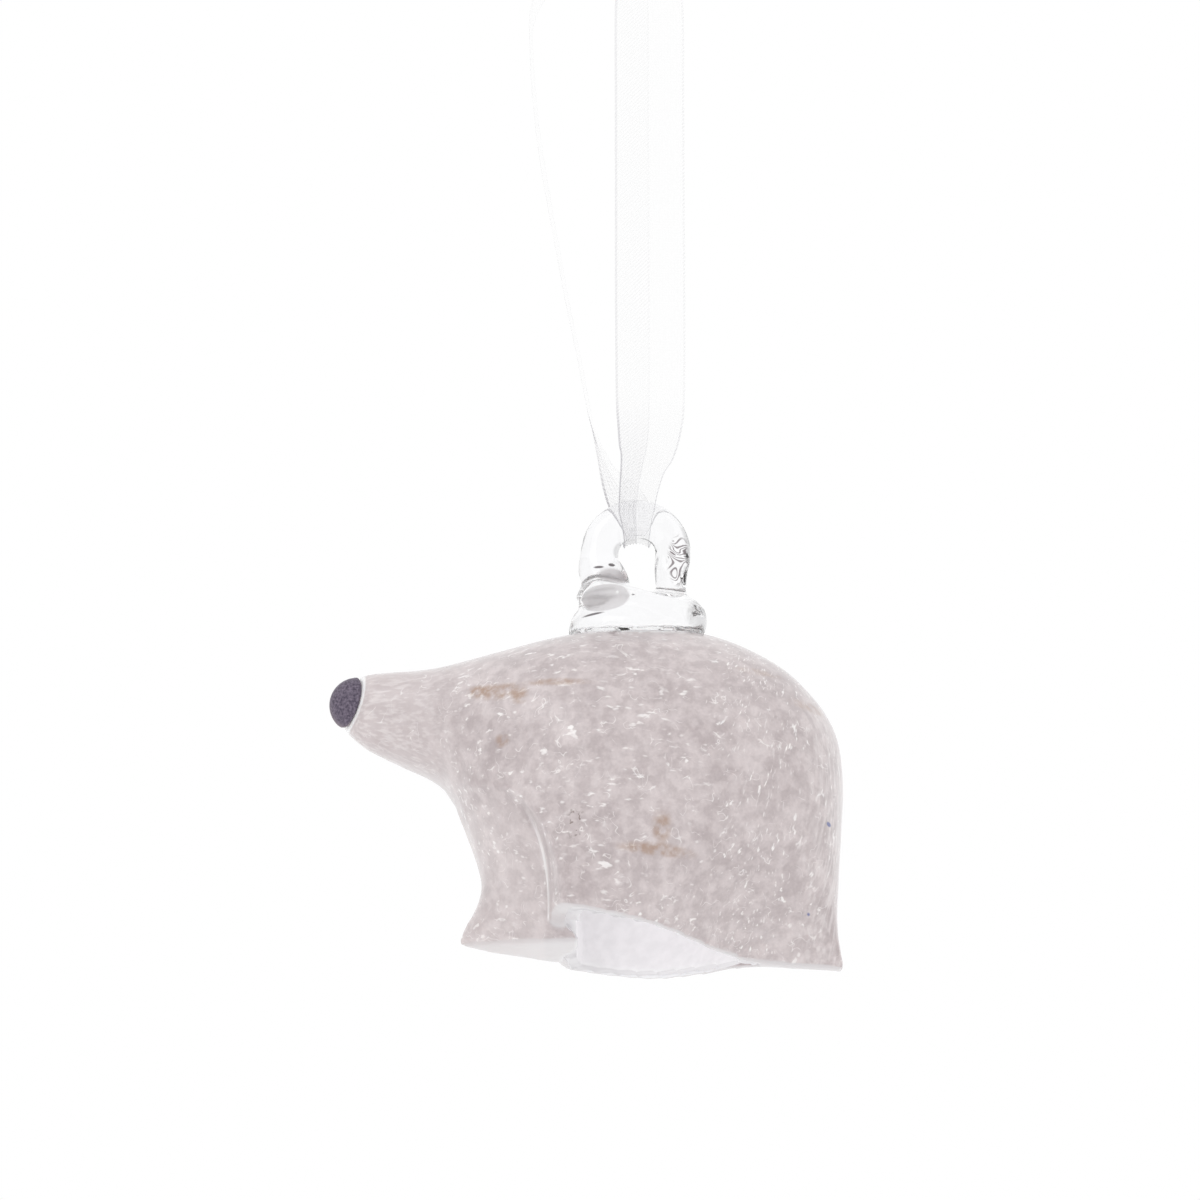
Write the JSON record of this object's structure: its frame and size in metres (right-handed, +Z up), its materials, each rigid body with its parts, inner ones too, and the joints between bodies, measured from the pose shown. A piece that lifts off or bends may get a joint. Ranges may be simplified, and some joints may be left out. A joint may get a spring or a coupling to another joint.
{
  "type": "hanging glass bear ornament",
  "caption": "Hanging ornament: a hollow blown glass bear with drawn-out snout, dark nose, open belly and clear glass loop, on a sheer ribbon.",
  "frame": {"origin": "middle of the ribbon's knot, where a hook or a twig holds the ornament", "axes": "+Z up, -X towards the nose, -Y towards the bear's left side, which the picture shows"},
  "size_m": [0.0715, 0.042, 0.1674],
  "materials": {
    "organza": "sheer, fine weave with a selvedge",
    "clear_glass": "fire polished",
    "mottled_glass": "glossy, pale grey-pink with white flecks",
    "opal_glass": "smooth white",
    "nose_glass": "glossy purple-black"
  },
  "bodies": {
    "knot": {"ribbon_knot": "organza"},
    "strands": {"ribbon_front_strand": "organza", "ribbon_back_strand": "organza"},
    "bight": {"ribbon_bight": "organza"},
    "bear": {"hanging_loop": "clear_glass", "hanger_pad": "clear_glass", "mottled_casing": "mottled_glass", "opal_lining": "opal_glass", "nose_dab": "nose_glass"}
  },
  "joints": [
    {"name": "ribbon_swing", "type": "hinge", "parent": "knot", "child": "strands", "pos_m": [0, 0, 0], "axis": [0, 1, 0], "range_deg": [-25, 25]},
    {"name": "ribbon_twist", "type": "hinge", "parent": "strands", "child": "bight", "pos_m": [0, 0, -0.0788], "axis": [0, 0, 1], "range_deg": [-60, 60], "stiffness_Nm_per_rad": 0.0002},
    {"name": "loop_rock", "type": "hinge", "parent": "bight", "child": "bear", "pos_m": [0, 0, -0.0852], "axis": [1, 0, 0], "range_deg": [-20, 20]}
  ]
}
